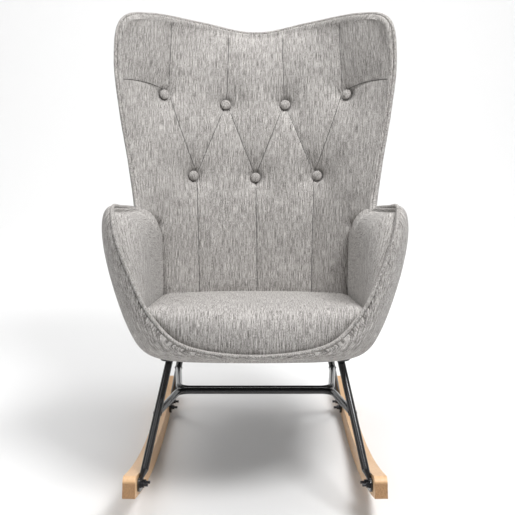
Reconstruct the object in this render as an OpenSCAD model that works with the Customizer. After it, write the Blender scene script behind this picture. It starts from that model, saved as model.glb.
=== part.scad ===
// Upholstered wing-back rocking chair: a padded tub shell on a steel tube frame
// with two wooden rockers. The chair faces -Y, +Z is up, and the origin is on the
// floor under the centre of the whole chair. All lengths are in millimetres.

/* [Shell] */
// Thickness of the outer fabric cover with its thin wadding
cover_t = 3; // [2:0.5:5]
// Thickness of the moulded plywood shell
core_t = 9; // [6:1:12]
// Clearance between the layers of the tub
layer_gap = 0.5; // [0.2:0.1:1]
// Radius of the piping round the rim
piping_r = 4; // [3:0.5:7]
// Steps along the rim in each layer of the tub
rim_steps = 30; // [20:1:36]
// Steps across the tub from rim to rim
cross_steps = 22; // [16:2:28]

/* [Padding] */
// Height of the seat top where it meets the back
seat_rear_z = 365; // [355:1:375]
// Rise of the seat towards its front edge, as a slope
seat_slope = 0.112; // [0.08:0.01:0.14]
// Roundness of the seat's front edge
seat_nose_r = 50; // [40:1:55]
// Half the clear width between the arm pads
arm_inner_x = 216; // [205:1:225]
// Depth from the wings' front edge back to the middle of the back
wing_depth = 158; // [140:1:165]
// Diameter of each covered button
button_d = 25; // [20:1:30]
// Height of each covered button
button_h = 9; // [7:0.5:11]

/* [Rockers] */
// Radius of the curve that rolls on the floor
rocker_r = 1268; // [1100:10:1400]
// Height of the rocker board
rocker_h = 44; // [38:1:48]
// Thickness of the rocker board
rocker_t = 26; // [22:1:30]
// Distance from the chair's centre plane to the inner face of each rocker
rocker_inner_x = 228; // [215:1:235]
// Toe-in of the rockers towards the rear, in degrees
rocker_toe = 1.9; // [0:0.1:2.5]
// Half the length of the rockers, along the floor
rocker_half_l = 348; // [330:1:360]
// Place along Y of the lowest point of the curve, under the centre of mass
rocker_low_y = -44; // [-60:1:0]
// How far the chair leans back when it stands at rest, its weight over the curve
rest_lean = 6.23; // [0:0.01:8]

/* [Frame] */
// Outer diameter of the leg tubes
leg_d = 16; // [14:1:20]
// Outer diameter of the brace tubes
brace_d = 15; // [12:1:16]
// Wall thickness of the tubes
tube_wall = 1.5; // [1:0.5:2]
// Height of the brace above the floor
brace_z = 174; // [160:1:190]
// Bend radius of the brace tubes, to their centre line
brace_bend_r = 28; // [22:1:36]
// Width of the steel bars under the seat
rail_w = 40; // [34:1:44]
// Thickness of the steel bars under the seat
rail_t = 4; // [3:0.5:5]
// Length and width of the flattened foot of each leg
foot_size = [58, 28]; // [24:1:64]
// Thickness of the flattened foot
foot_t = 5; // [4:0.5:6]

/* [Hidden] */
$fn = 48;

fabric = [0.68, 0.66, 0.63];
timber = [0.90, 0.72, 0.52];
plywood = [0.87, 0.75, 0.57];
steel = [0.08, 0.08, 0.09];
zinc = [0.72, 0.73, 0.75];

// The tub's outer surface is lofted through these ribs, in order from the top of the
// back to the front edge of the seat. Each rib runs from the centre plane out to the
// rim: [centre y, z, corner x, y, z, flank x, y, z, rim x, y, z].
RIBS = [
  [ 318,  993,   0,  318,  993,   0,  318,  993,   0,  318,  993],
  [ 338,  962,  70,  340,  979, 135,  322, 1000, 134,  296, 1016],
  [ 342,  915, 170,  335,  945, 262,  275,  995, 251,  212, 1031],
  [ 338,  855, 235,  325,  890, 324,  238,  945, 314,  138, 1011],
  [ 330,  790, 270,  318,  810, 345,  200,  880, 328,  113,  920],
  [ 318,  710, 270,  305,  720, 335,  175,  770, 315,   93,  800],
  [ 302,  620, 262,  290,  610, 322,  140,  650, 296,   72,  690],
  [ 280,  520, 255,  270,  490, 318,   90,  550, 275,   25,  582],
  [ 250,  420, 252,  240,  360, 335,   10,  522, 276,  -60,  590],
  [ 200,  335, 258,  170,  280, 380,  -60,  552, 287, -140,  601],
  [ 120,  288, 262,   80,  268, 414, -140,  590, 297, -210,  606],
  [  20,  281, 262,  -30,  266, 384, -205,  535, 284, -257,  548],
  [ -90,  281, 256, -110,  266, 322, -260,  420, 251, -277,  464],
  [-180,  284, 222, -195,  274, 275, -292,  352, 210, -291,  390],
  [-255,  291, 135, -268,  295, 200, -310,  318, 140, -306,  333],
  [-317,  317,   0, -317,  317,   0, -317,  317,   0, -317,  317]];
corner_weight = 3;
rib_end = 0.006;
probe = 0.004;

// The shell's panels meet where the back becomes the bottom, at split a, and at the turn
// from back to side, at split b. They stop a little short of the tub's two ends, where
// its surface narrows to a point.
shell_split_a = 0.6;
shell_split_b = 0.5;
panel_gap = 0.002;
shell_span = [0.014, 0.965];
pad_depth = cover_t + 2 * layer_gap + core_t;
seat_plane_y = 160;
back_lean = 0.12;
back_bow = 0.00016;
seat_half_w = 226;
seat_nose_y = -250;
arm_rear_y = 82;
arm_span = [0.468, 0.84];
board_z = [296, 311];
board_half = [175, 150];
board_y = -22;
board_corner_r = 55;
dust_z = 277.6;
dust_t = 1;
rail_top_z = dust_z - 0.1;
rail_z = rail_top_z - rail_t;
seat_bolt_r = 4;
rocker_bolt_r = 3;
rocker_bolt_pitch = 30;
hole_play = 0.3;
washer_t = 1.6;
barrel_r = 5.2;
end_round_r = 15;
// Where the rockers' curve touches the floor when the chair stands at rest
rest_y = 43.8;

// Tube centre lines of the right-hand legs: [foot end, top end]
front_leg = [[226, -289, 78], [181, -147, 288]];
rear_leg = [[212, 216, 76], [171, 70, 264]];
front_foot_y = -297;
rear_foot_y = 232;
brace_y = -51;
brace_corner_x = 174;

// ---- Small helpers ----
function unit(v) = v / norm(v);
function lerp(p, q, t) = p + (q - p) * t;
function clamp(v, lo, hi) = min(max(v, lo), hi);

// Point at height z on the straight line through a leg's two ends
function leg_at(leg, z) = lerp(leg[0], leg[1], (z - leg[0].z) / (leg[1].z - leg[0].z));

module mirror_pair() {
  children();
  mirror([1, 0, 0]) children();
}

// The chair as it stands at rest: rolled back on its rockers until its centre of mass is
// over the line where they touch the floor, and moved so that it stands about the origin
module at_rest() {
  translate([0, rest_y, rocker_r])
    rotate([-rest_lean, 0, 0])
      translate([0, -rocker_low_y, -rocker_r])
        children();
}

// Cylinder between two points
module rod(p, q, r) {
  v = q - p;
  translate(p)
    rotate([0, acos(v.z / norm(v)), atan2(v.y, v.x)])
      rotate([0, 0, 37])
        cylinder(h = norm(v), r = r);
}

// ---- The tub's surface ----
// Smooth interpolation through the ribs; a runs from 0 at the top to 1 at the front.
// Past each end, the rib is the mirror image of its neighbour, so the rim has no kink.
function mirrored(r) = [for (k = [0:10]) (k == 2 || k == 5 || k == 8) ? -r[k] : r[k]];
function rib_row(i) =
  let (n = len(RIBS) - 1)
  i < 0 ? mirrored(RIBS[-i]) : i > n ? mirrored(RIBS[2 * n - i]) : RIBS[i];
function rib(a) =
  let (x = clamp(a, 0, 1) * (len(RIBS) - 1),
       i = min(floor(x), len(RIBS) - 2),
       q = x - i,
       p0 = rib_row(i - 1),
       p1 = rib_row(i),
       p2 = rib_row(i + 1),
       p3 = rib_row(i + 2))
  0.5 * (2 * p1 + (p2 - p0) * q + (2 * p0 - 5 * p1 + 4 * p2 - p3) * q * q
         + (3 * p1 - p0 - 3 * p2 + p3) * q * q * q);

// Rational quartic across one rib; b runs from -1 at the left rim to 1 at the right
function on_rib(r, b) =
  let (t = abs(b),
       s = 1 - t,
       w = [s * s * s * s, 4 * t * s * s * s, 6 * corner_weight * t * t * s * s,
            4 * t * t * t * s, t * t * t * t],
       p = (w[0] * [0, r[0], r[1]] + w[1] * [0.6 * r[2], r[0], r[1]]
            + w[2] * [r[2], r[3], r[4]] + w[3] * [r[5], r[6], r[7]]
            + w[4] * [r[8], r[9], r[10]]) / (w[0] + w[1] + w[2] + w[3] + w[4]))
  [b < 0 ? -p.x : p.x, p.y, p.z];
function tub(a, b) = on_rib(rib(a), b);

// Outward normal of the tub's surface
function tub_normal(a, b) =
  let (a0 = clamp(a - probe, rib_end, 1 - rib_end),
       a1 = clamp(a + probe, rib_end, 1 - rib_end),
       b0 = clamp(b - probe, -1, 1),
       b1 = clamp(b + probe, -1, 1))
  unit(cross(tub(a, b1) - tub(a, b0), tub(a1, b) - tub(a0, b)));

// Grid of points at a depth below the tub's outer surface, from one end of each range
// to the other
function tub_layer(depth, along = [rib_end, 1 - rib_end], across = [-1, 1],
                   rows = rim_steps, cols = cross_steps) =
  [for (i = [0:rows])
    let (a = lerp(along[0], along[1], i / rows))
    [for (j = [0:cols])
      let (b = lerp(across[0], across[1], j / cols))
      tub(a, b) - depth * tub_normal(a, b)]];

// Two triangles for each cell of a grid whose rows hold m points, from point k on
function grid_faces(rows, m, k, flip) =
  [for (i = [0:rows - 2], j = [0:m - 2])
    let (p = k + i * m + j, q = p + m)
    each flip ? [[p, q, p + 1], [p + 1, q, q + 1]] : [[p, p + 1, q], [p + 1, q + 1, q]]];

// Closed solid between two grids of the same size
module sheet_solid(top, under) {
  rows = len(top);
  m = len(top[0]);
  n = rows * m;
  pts = [for (r = top) each r, for (r = under) each r];
  ends = [for (j = [0:m - 2])
           let (p = j, q = (rows - 1) * m + j)
           each [[p + 1, p, n + p], [p + 1, n + p, n + p + 1],
                 [q, q + 1, n + q], [q + 1, n + q + 1, n + q]]];
  sides = [for (i = [0:rows - 2])
            let (p = i * m, q = p + m - 1)
            each [[p, p + m, n + p], [p + m, n + p + m, n + p],
                  [q + m, q, n + q], [q + m, n + q, n + q + m]]];
  faces = concat(grid_faces(rows, m, 0, false), grid_faces(rows, m, n, true), ends, sides);
  polyhedron(pts, faces);
}

// ---- The padded faces ----
// Middle of the back's face at height z: it reclines more towards the top
function back_y(z) =
  seat_plane_y + back_lean * (z - seat_rear_z) + back_bow * pow(z - seat_rear_z, 2);

// Half the width of the back's face between the wings' edges, and how far the edges
// come forward: less behind the arms than at the wings
function back_half_w(z) = min(275 + 0.165 * (z - 582), 328);
function curl(z) = wing_depth * (0.65 + 0.35 * clamp((z - seat_rear_z) / 250, 0, 1));
function face_y(x, z) = back_y(z) - curl(z) * pow(abs(x) / back_half_w(z), 2.5);
function seat_z(y) = seat_rear_z + seat_slope * (seat_plane_y - y);

// Where the buttons sit on the back: [x, z]
BUTTONS = [[-213, 847], [-72, 822], [72, 822], [213, 847], [-144, 649], [0, 642], [144, 649]];

// Moves its child to a button's place, with +Z out of the back's face
module at_button(spot) {
  x = spot[0];
  z = spot[1];
  slope_x = (face_y(x + 2, z) - face_y(x - 2, z)) / 4;
  slope_z = (face_y(x, z + 2) - face_y(x, z - 2)) / 4;
  out = unit([slope_x, -1, slope_z]);
  translate([x, face_y(x, z), z])
    rotate([0, acos(out.z), atan2(out.y, out.x)])
      children();
}

// ---- Upholstery ----
module bolt_shafts(r) {
  mirror_pair()
    for (p = SEAT_BOLTS)
      translate([p.x, p.y, 240]) cylinder(h = 90, r = r);
}

module outer_cover() {
  color(fabric)
    difference() {
      sheet_solid(tub_layer(0), tub_layer(cover_t));
      bolt_shafts(seat_bolt_r + 0.5);
    }
}

// One moulded panel of the shell
module shell_panel(along, across, rows, cols) {
  top = cover_t + layer_gap;
  color(plywood)
    sheet_solid(tub_layer(top, along, across, rows, cols),
                tub_layer(top + core_t, along, across, rows, cols));
}

module back_shell() {
  shell_panel([shell_span[0], shell_split_a - panel_gap],
              [panel_gap - shell_split_b, shell_split_b - panel_gap], 18, 12);
}

module seat_shell() {
  difference() {
    shell_panel([shell_split_a + panel_gap, shell_span[1]],
                [panel_gap - shell_split_b, shell_split_b - panel_gap], 14, 12);
    bolt_shafts(seat_bolt_r + 0.5);
  }
}

module left_side_shell() {
  shell_panel(shell_span, [-1, -shell_split_b - panel_gap], rim_steps, 8);
}

module right_side_shell() {
  shell_panel(shell_span, [shell_split_b + panel_gap, 1], rim_steps, 8);
}

// Outline and depth of the back pad
function back_top_z(x) = lookup(abs(x), [[0, 982], [134, 1003], [225, 1014], [300, 985]]);
function back_edge_x(z) = lookup(z, [[313, 185], [400, 210], [560, 212], [620, 262], [800, 292],
                                     [920, 308], [1020, 290]]);
function back_depth(z) = lookup(z, [[313, 28], [365, 32], [450, 58], [700, 64], [850, 50],
                                    [960, 20], [985, 8]]);

module back_pad() {
  rows = 20;
  cols = 24;
  face = [for (i = [0:rows])
           [for (j = [0:cols])
             let (u = 2 * j / cols - 1,
                  z0 = lerp(313, back_top_z(300 * u), i / rows),
                  x = u * back_edge_x(z0))
             [x, face_y(x, z0), z0]]];
  rear = [for (r = face)
           [for (j = [0:cols])
             let (u = 2 * j / cols - 1)
             r[j] + [0, back_depth(r[j].z) * (1 - 0.5 * pow(u, 4)), 0]]];
  color(fabric)
    difference() {
      sheet_solid(rear, face);
      for (spot = BUTTONS)
        at_button(spot) translate([0, 0, -12]) cylinder(h = 60, r = button_d / 2 + 2);
    }
}

// Where a rib comes up past the seat and forward of the back, by halving
function arm_start(a, lo, hi, n) =
  let (mid = (lo + hi) / 2, p = tub(a, mid))
  n == 0 ? mid
         : (p.z > seat_z(p.y) + 3 && p.y < arm_rear_y) ? arm_start(a, lo, mid, n - 1)
                                                        : arm_start(a, mid, hi, n - 1);

module right_arm_pad() {
  rows = 18;
  cols = 12;
  grid = [for (i = [0:rows])
           let (a = lerp(arm_span[0], arm_span[1], i / rows),
                b0 = arm_start(a, 0.3, 0.96, 10))
           [for (j = [0:cols])
             let (b = lerp(b0, 0.995, j / cols), t = j / cols)
             [tub(a, b) - pad_depth * tub_normal(a, b), pow(t, lerp(8, 4, i / rows))]]];
  wall = [for (r = grid) [for (g = r) g[0]]];
  face = [for (r = grid)
           [for (g = r) [lerp(min(arm_inner_x, g[0].x - 4), g[0].x - 4, g[1]), g[0].y, g[0].z]]];
  color(fabric) sheet_solid(wall, face);
}

module left_arm_pad() {
  mirror([1, 0, 0]) right_arm_pad();
}

// Height of the seat's front lip above the floor at x, just above the rim
function lip_z(x) = 326 + 63 * pow(x / 203, 2);
function seat_top(x, y) =
  let (flat = seat_z(y) - 8 * pow(abs(x) / seat_half_w, 6),
       over = max(0, seat_nose_y - y) / seat_nose_r)
  flat - seat_nose_r * (1 - sqrt(max(0, 1 - over * over)));
function seat_under(x, y) =
  let (w = clamp((-170 - y) / 130, 0, 1))
  lerp(board_z[1] + 1 + 60 * pow(abs(x) / seat_half_w, 6), lip_z(x), w * w * (3 - 2 * w));

module seat_cushion() {
  rows = 18;
  cols = 20;
  front_y = seat_nose_y - 0.97 * seat_nose_r;
  plan = [for (i = [0:rows])
           [for (j = [0:cols])
             let (x = seat_half_w * (2 * j / cols - 1),
                  side = pow(abs(x) / seat_half_w, 4),
                  t = 1 - pow(1 - i / rows, 1.6))
             [x, lerp(min(face_y(x, seat_rear_z), face_y(x, 320)) - 1.5, front_y + 14 * side, t)]]];
  top = [for (r = plan) [for (p = r) [p.x, p.y, max(seat_top(p.x, p.y), seat_under(p.x, p.y) + 6)]]];
  under = [for (r = plan) [for (p = r) [p.x, p.y, seat_under(p.x, p.y)]]];
  color(fabric) sheet_solid(top, under);
}

// Centre of the piping at a, on the right half of the rim
function piping_point(a) =
  let (t = clamp(a, rib_end, 1 - rib_end),
       n = tub_normal(t, 1),
       along = unit(tub(min(t + 0.004, 1 - rib_end), 1) - tub(max(t - 0.004, rib_end), 1)),
       out = unit(cross(along, n)))
  tub(t, 1) - n * cover_t / 2 + out * (piping_r + 0.5);

module rim_piping() {
  steps = 64;
  sides = 8;
  half = [for (i = [0:steps]) piping_point(lerp(0.012, 0.988, i / steps))];
  loop = concat(half, [for (i = [steps:-1:0]) [-half[i].x, half[i].y, half[i].z]]);
  n = len(loop);
  pts = [for (i = [0:n - 1])
          let (along = unit(loop[(i + 1) % n] - loop[(i + n - 1) % n]),
               side = unit(cross(along, [0, 0.6, -0.8])),
               up = cross(side, along))
          for (k = [0:sides - 1])
            loop[i] + piping_r * (cos(k * 360 / sides) * side + sin(k * 360 / sides) * up)];
  faces = [for (i = [0:n - 1], k = [0:sides - 1])
            let (p = i * sides + k,
                 q = i * sides + (k + 1) % sides,
                 r = ((i + 1) % n) * sides + k,
                 s = ((i + 1) % n) * sides + (k + 1) % sides)
            each [[p, r, q], [q, r, s]]];
  color(fabric) polyhedron(pts, faces);
}

module tufting_buttons() {
  color(fabric)
    for (spot = BUTTONS)
      at_button(spot)
        translate([0, 0, -11])
          rotate_extrude()
            intersection() {
              translate([0, button_h - 22]) circle(r = 22);
              square([button_d / 2, button_h]);
            }
}

// ---- Seat board and its fasteners ----
function rail_x(y) =
  let (f = leg_at(front_leg, rail_z), r = leg_at(rear_leg, rail_z))
  lerp(f.x, r.x, (y - f.y) / (r.y - f.y));
SEAT_BOLTS = [[rail_x(-112), -112], [rail_x(18), 18]];

// Flat plate with round corners
module round_plate(half, r, t) {
  cube([2 * half.x - 2 * r, 2 * half.y, t], center = true);
  cube([2 * half.x, 2 * half.y - 2 * r, t], center = true);
  for (sx = [-1, 1], sy = [-1, 1])
    translate([sx * (half.x - r), sy * (half.y - r), 0]) cylinder(h = t, r = r, center = true);
}

module seat_board() {
  t = board_z[1] - board_z[0];
  color(plywood)
    difference() {
      translate([0, board_y, board_z[0] + t / 2]) round_plate(board_half + [20, 0], board_corner_r, t);
      mirror_pair()
        for (p = SEAT_BOLTS)
          translate([p.x, p.y, 280]) cylinder(h = 40, r = barrel_r + 0.1);
      mirror_pair()
        for (p = SEAT_BOLTS)
          translate([p.x, p.y, board_z[1] - 1.7]) cylinder(h = 10, r = 11.2);
    }
}

module t_nuts() {
  color(zinc)
    mirror_pair()
      for (p = SEAT_BOLTS)
        difference() {
          union() {
            translate([p.x, p.y, board_z[0] + 2]) cylinder(h = 12, r = barrel_r);
            translate([p.x, p.y, board_z[1] - 1.6]) cylinder(h = 1.5, r = 11);
          }
          translate([p.x, p.y, 250]) cylinder(h = 90, r = seat_bolt_r + 0.1);
        }
}

module dust_cover() {
  color([0.1, 0.1, 0.1])
    difference() {
      translate([0, -40, dust_z + dust_t / 2]) round_plate([205, 140], 40, dust_t);
      bolt_shafts(seat_bolt_r + 0.5);
    }
}

module right_seat_rail() {
  f = leg_at(front_leg, rail_z);
  r = leg_at(rear_leg, rail_z);
  mid = (f + r) / 2;
  turn = atan2(f.x - r.x, r.y - f.y);
  span = norm([f.x - r.x, f.y - r.y]);
  color(steel)
    difference() {
      translate([mid.x, mid.y, rail_z + rail_t / 2])
        rotate([0, 0, turn])
          union() {
            cube([rail_w, span, rail_t], center = true);
            for (s = [-1, 1])
              translate([0, s * span / 2, 0]) cylinder(h = rail_t, r = rail_w / 2, center = true);
          }
      bolt_shafts(seat_bolt_r + hole_play);
    }
}

module left_seat_rail() {
  mirror([1, 0, 0]) right_seat_rail();
}

module seat_washers() {
  color(zinc)
    mirror_pair()
      for (p = SEAT_BOLTS)
        translate([p.x, p.y, rail_z - washer_t - 0.1])
          difference() {
            cylinder(h = washer_t, r = 8);
            translate([0, 0, -1]) cylinder(h = washer_t + 2, r = seat_bolt_r + hole_play);
          }
}

module seat_bolts() {
  head_h = 5.3;
  top = rail_z - washer_t - 0.2;
  color(zinc)
    mirror_pair()
      for (p = SEAT_BOLTS) {
        translate([p.x, p.y, top - head_h]) cylinder(h = head_h, r = 7.2, $fn = 6);
        translate([p.x, p.y, top - 0.1]) cylinder(h = board_z[1] - top - 2, r = seat_bolt_r);
      }
}

// ---- Frame ----
// Puts its child on the right rocker's inner face: x out of the face towards the
// middle of the chair is negative, y along the rocker, z up from the floor curve
module on_rocker(y) {
  tilt = asin((y - rocker_low_y) / rocker_r);
  translate([rocker_inner_x, 0, 0])
    rotate([0, 0, rocker_toe])
      translate([0, rocker_low_y, rocker_r])
        rotate([tilt, 0, 0])
          translate([0, 0, -rocker_r])
            children();
}

// Shape of a foot: a flat plate with round ends, standing on the rocker's face
module foot_plate(t) {
  l = foot_size[0] - foot_size[1];
  translate([-t - 0.2, 0, rocker_h / 2]) {
    translate([0, -l / 2, -foot_size[1] / 2]) cube([t, l, foot_size[1]]);
    for (s = [-1, 1])
      translate([0, s * l / 2, 0])
        rotate([0, 90, 0]) cylinder(h = t, r = foot_size[1] / 2);
  }
}

module foot_holes(y, r, depth, length) {
  on_rocker(y)
    for (s = [-1, 1])
      translate([depth, s * rocker_bolt_pitch / 2, rocker_h / 2])
        rotate([0, 90, 0]) cylinder(h = length, r = r);
}

module right_leg(line, foot_y) {
  d = unit(line[1] - line[0]);
  color(steel)
    difference() {
      union() {
        intersection() {
          difference() {
            rod(line[0], line[1] + 24 * d, leg_d / 2);
            rod(line[0] + 8 * d, line[1] + 40 * d, leg_d / 2 - tube_wall);
          }
          translate([100, -400, 0]) cube([200, 800, rail_z - 0.1]);
        }
        hull() {
          rod(line[0] - 2 * d, line[0] + 7 * d, leg_d / 2 - 0.02, $fn = 32);
          on_rocker(foot_y)
            translate([-foot_t - 0.1, -12, rocker_h / 2 + 5]) cube([foot_t - 0.2, 24, 4]);
        }
        on_rocker(foot_y) foot_plate(foot_t);
      }
      foot_holes(foot_y, rocker_bolt_r + hole_play, -20, 40);
    }
}

module front_right_leg() {
  right_leg(front_leg, front_foot_y);
}

module rear_right_leg() {
  right_leg(rear_leg, rear_foot_y);
}

module front_left_leg() {
  mirror([1, 0, 0]) front_right_leg();
}

module rear_left_leg() {
  mirror([1, 0, 0]) rear_right_leg();
}

// Hollow tube along a path that lies flat at one height
module flat_tube(path, z, r, wall) {
  sides = 28;
  n = len(path);
  rings = [for (radius = [r, r - wall], i = [0:n - 1])
            let (along = unit(path[min(i + 1, n - 1)] - path[max(i - 1, 0)]))
            for (k = [0:sides - 1])
              [path[i].x - along.y * radius * cos(k * 360 / sides),
               path[i].y + along.x * radius * cos(k * 360 / sides),
               z + radius * sin(k * 360 / sides)]];
  inner = n * sides;
  last = (n - 1) * sides;
  faces = [for (k = [0:sides - 1])
            let (j = (k + 1) % sides)
            each concat(
              [for (i = [0:n - 2])
                let (p = i * sides)
                each [[p + k, p + j, p + sides + k], [p + j, p + sides + j, p + sides + k],
                      [inner + p + k, inner + p + sides + k, inner + p + j],
                      [inner + p + j, inner + p + sides + k, inner + p + sides + j]]],
              [[k, inner + k, j], [j, inner + k, inner + j],
               [last + k, last + j, inner + last + k],
               [last + j, inner + last + j, inner + last + k]])];
  polyhedron(rings, faces);
}

// One U-shaped brace tube: a straight bar along X with a bend and an arm at each end.
// Each arm runs from its bend to the side of a leg, where it is welded on.
module brace_tube(y, leg) {
  joint = leg_at(leg, brace_z);
  arm = [joint.x, joint.y] - [brace_corner_x, y];
  turn = atan2(abs(arm.y), arm.x);
  side = arm.y < 0 ? -1 : 1;
  cut = brace_bend_r * tan(turn / 2);
  arm_end = [joint.x, joint.y] - (leg_d / 2 + 0.3) * unit(arm);
  half = concat([for (i = [0:6])
                  [brace_corner_x - cut + brace_bend_r * sin(turn * i / 6),
                   y + side * brace_bend_r * (1 - cos(turn * i / 6))]],
                [arm_end]);
  path = concat([for (i = [len(half) - 1:-1:0]) [-half[i].x, half[i].y]], half);
  color(steel) flat_tube(path, brace_z, brace_d / 2, tube_wall);
}

module front_brace_tube() {
  brace_tube(brace_y - brace_d / 2 - 0.2, front_leg);
}

module rear_brace_tube() {
  brace_tube(brace_y + brace_d / 2 + 0.2, rear_leg);
}

// ---- Rockers ----
// Point at a distance from the curve's centre, at an angle from straight down
function from_centre(r, angle) = [rocker_low_y + r * sin(angle), rocker_r - r * cos(angle)];
function angle_at(y) = asin((y - rocker_low_y) / rocker_r);

// Square corner less its round, at the top of the rocker's end; way is 1 at the rear
module sharp_corner(way) {
  translate(from_centre(rocker_r, angle_at(way * rocker_half_l)))
    rotate(angle_at(way * rocker_half_l))
      difference() {
        translate([way > 0 ? -end_round_r : -1, rocker_h - end_round_r])
          square([end_round_r + 1, end_round_r + 1]);
        translate([-way * end_round_r, rocker_h - end_round_r]) circle(r = end_round_r);
      }
}

module rocker_outline() {
  difference() {
    intersection() {
      difference() {
        translate([rocker_low_y, rocker_r]) circle(r = rocker_r, $fn = 720);
        translate([rocker_low_y, rocker_r]) circle(r = rocker_r - rocker_h, $fn = 720);
      }
      polygon([from_centre(0, 0), from_centre(2 * rocker_r, angle_at(-rocker_half_l)),
               from_centre(2 * rocker_r, angle_at(rocker_half_l))]);
    }
    sharp_corner(-1);
    sharp_corner(1);
  }
}

module right_rocker() {
  head_r = 7;
  head_depth = 5;
  color(timber)
    difference() {
      translate([rocker_inner_x, 0, 0])
        rotate([0, 0, rocker_toe])
          rotate([90, 0, 90])
            linear_extrude(height = rocker_t) rocker_outline();
      for (y = [front_foot_y, rear_foot_y]) {
        foot_holes(y, rocker_bolt_r + hole_play, -10, 60);
        foot_holes(y, head_r + 0.5, rocker_t - head_depth, 20);
      }
    }
}

module left_rocker() {
  mirror([1, 0, 0]) right_rocker();
}

module each_rocker_bolt() {
  mirror_pair()
    for (y = [front_foot_y, rear_foot_y])
      on_rocker(y)
        for (s = [-1, 1])
          translate([0, s * rocker_bolt_pitch / 2, rocker_h / 2])
            rotate([0, 90, 0])
              children();
}

module rocker_bolts() {
  color(zinc)
    each_rocker_bolt() {
      translate([0, 0, -20]) cylinder(h = 20 + 21.5, r = rocker_bolt_r);
      translate([0, 0, 21.2]) cylinder(h = 4, r = 6.5);
    }
}

module rocker_washers() {
  color(zinc)
    each_rocker_bolt()
      translate([0, 0, -foot_t - 0.4 - washer_t])
        difference() {
          cylinder(h = washer_t, r = 6.2);
          translate([0, 0, -1]) cylinder(h = washer_t + 2, r = rocker_bolt_r + hole_play);
        }
}

module rocker_nuts() {
  nut_h = 5;
  color(zinc)
    each_rocker_bolt()
      translate([0, 0, -foot_t - 0.6 - washer_t - nut_h])
        difference() {
          cylinder(h = nut_h, r = 5.8, $fn = 6);
          translate([0, 0, -1]) cylinder(h = nut_h + 2, r = rocker_bolt_r + 0.1);
        }
}

at_rest() outer_cover();
at_rest() back_shell();
at_rest() seat_shell();
at_rest() left_side_shell();
at_rest() right_side_shell();
at_rest() rim_piping();
at_rest() back_pad();
at_rest() left_arm_pad();
at_rest() right_arm_pad();
at_rest() seat_cushion();
at_rest() tufting_buttons();
at_rest() seat_board();
at_rest() t_nuts();
at_rest() dust_cover();
at_rest() left_seat_rail();
at_rest() right_seat_rail();
at_rest() seat_washers();
at_rest() seat_bolts();
at_rest() front_left_leg();
at_rest() front_right_leg();
at_rest() rear_left_leg();
at_rest() rear_right_leg();
at_rest() front_brace_tube();
at_rest() rear_brace_tube();
at_rest() left_rocker();
at_rest() right_rocker();
at_rest() rocker_bolts();
at_rest() rocker_washers();
at_rest() rocker_nuts();
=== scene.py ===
"""Looks of the upholstered wing-back rocking chair, in metres and in the CAD model's frame.

The tub's surface is worked out from the same ribs as in the CAD model. The padded faces are
grids in front of it, filled out by short cloth runs, and their edges turn over its rim.
"""
import math

import bmesh
import bpy
import numpy as np
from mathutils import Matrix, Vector
from mathutils.bvhtree import BVHTree


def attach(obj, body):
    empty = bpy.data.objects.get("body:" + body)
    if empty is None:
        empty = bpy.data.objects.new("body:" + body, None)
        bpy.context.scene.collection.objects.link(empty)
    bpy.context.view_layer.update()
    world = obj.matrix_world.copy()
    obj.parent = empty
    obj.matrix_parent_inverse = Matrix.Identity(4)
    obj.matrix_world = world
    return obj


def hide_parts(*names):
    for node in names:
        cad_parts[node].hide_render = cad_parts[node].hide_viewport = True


# ---- frame
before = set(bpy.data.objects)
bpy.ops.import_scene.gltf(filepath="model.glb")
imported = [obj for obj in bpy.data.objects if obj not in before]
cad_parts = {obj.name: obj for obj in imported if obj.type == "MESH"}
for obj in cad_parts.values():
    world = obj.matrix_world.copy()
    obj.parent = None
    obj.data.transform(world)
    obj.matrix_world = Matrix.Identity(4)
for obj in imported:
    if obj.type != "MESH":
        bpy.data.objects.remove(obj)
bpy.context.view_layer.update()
MM = 0.001

# The chair is drawn upright and then rolled back on its rockers to where it rests
LOW_Y, ROCKER_R = -0.044, 1.268
LEAN, REST_Y = math.radians(6.23), 0.0438


def rest(p):
    """From the upright chair to the chair at rest"""
    p = np.asarray(p, float)
    y, z = p[..., 1] - LOW_Y, p[..., 2] - ROCKER_R
    c, s = math.cos(LEAN), math.sin(LEAN)
    return np.stack([p[..., 0], y * c + z * s + REST_Y, z * c - y * s + ROCKER_R], -1)


def upright(p):
    """From the chair at rest back to the upright chair"""
    p = np.asarray(p, float)
    y, z = p[..., 1] - REST_Y, p[..., 2] - ROCKER_R
    c, s = math.cos(LEAN), math.sin(LEAN)
    return np.stack([p[..., 0], y * c - z * s + LOW_Y, y * s + z * c + ROCKER_R], -1)


def unit(v):
    return v / np.maximum(np.linalg.norm(v, axis=-1, keepdims=True), 1e-12)


def mirror_x(p):
    return p * np.array([-1.0, 1.0, 1.0])


def smooth(x, lo, hi):
    t = np.clip((x - lo) / (hi - lo), 0, 1)
    return t * t * (3 - 2 * t)


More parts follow.
